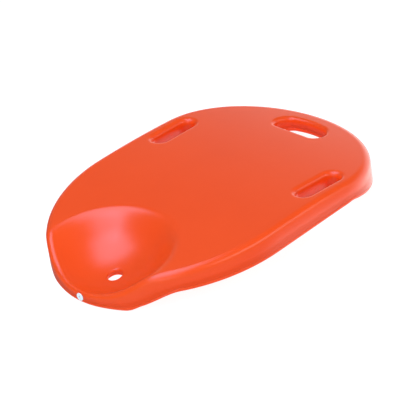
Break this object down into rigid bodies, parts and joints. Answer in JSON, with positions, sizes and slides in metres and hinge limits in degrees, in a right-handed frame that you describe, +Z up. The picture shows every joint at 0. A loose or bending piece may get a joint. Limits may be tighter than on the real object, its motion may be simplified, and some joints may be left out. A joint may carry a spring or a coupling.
{
  "type": "short resuscitation board",
  "caption": "Short moulded board laid under a casualty for chest compressions, with a round head dish, oval hand slots, finger bays beneath and a vent plug at the head tip.",
  "frame": {"origin": "middle of the board's length and width, on the flat underside that it rests on", "axes": "+X towards the foot end, +Y to the left when looking from the head end to the foot end, +Z up"},
  "size_m": [0.6118, 0.426, 0.077],
  "materials": {
    "orange_plastic": "smooth moulded, glossy",
    "foam": "rigid foam",
    "white_plastic": "smooth moulded"
  },
  "bodies": {
    "root": {"deck_shell": "orange_plastic", "base_shell": "orange_plastic", "foam_core": "foam", "vent_plug": "white_plastic"}
  },
  "joints": []
}
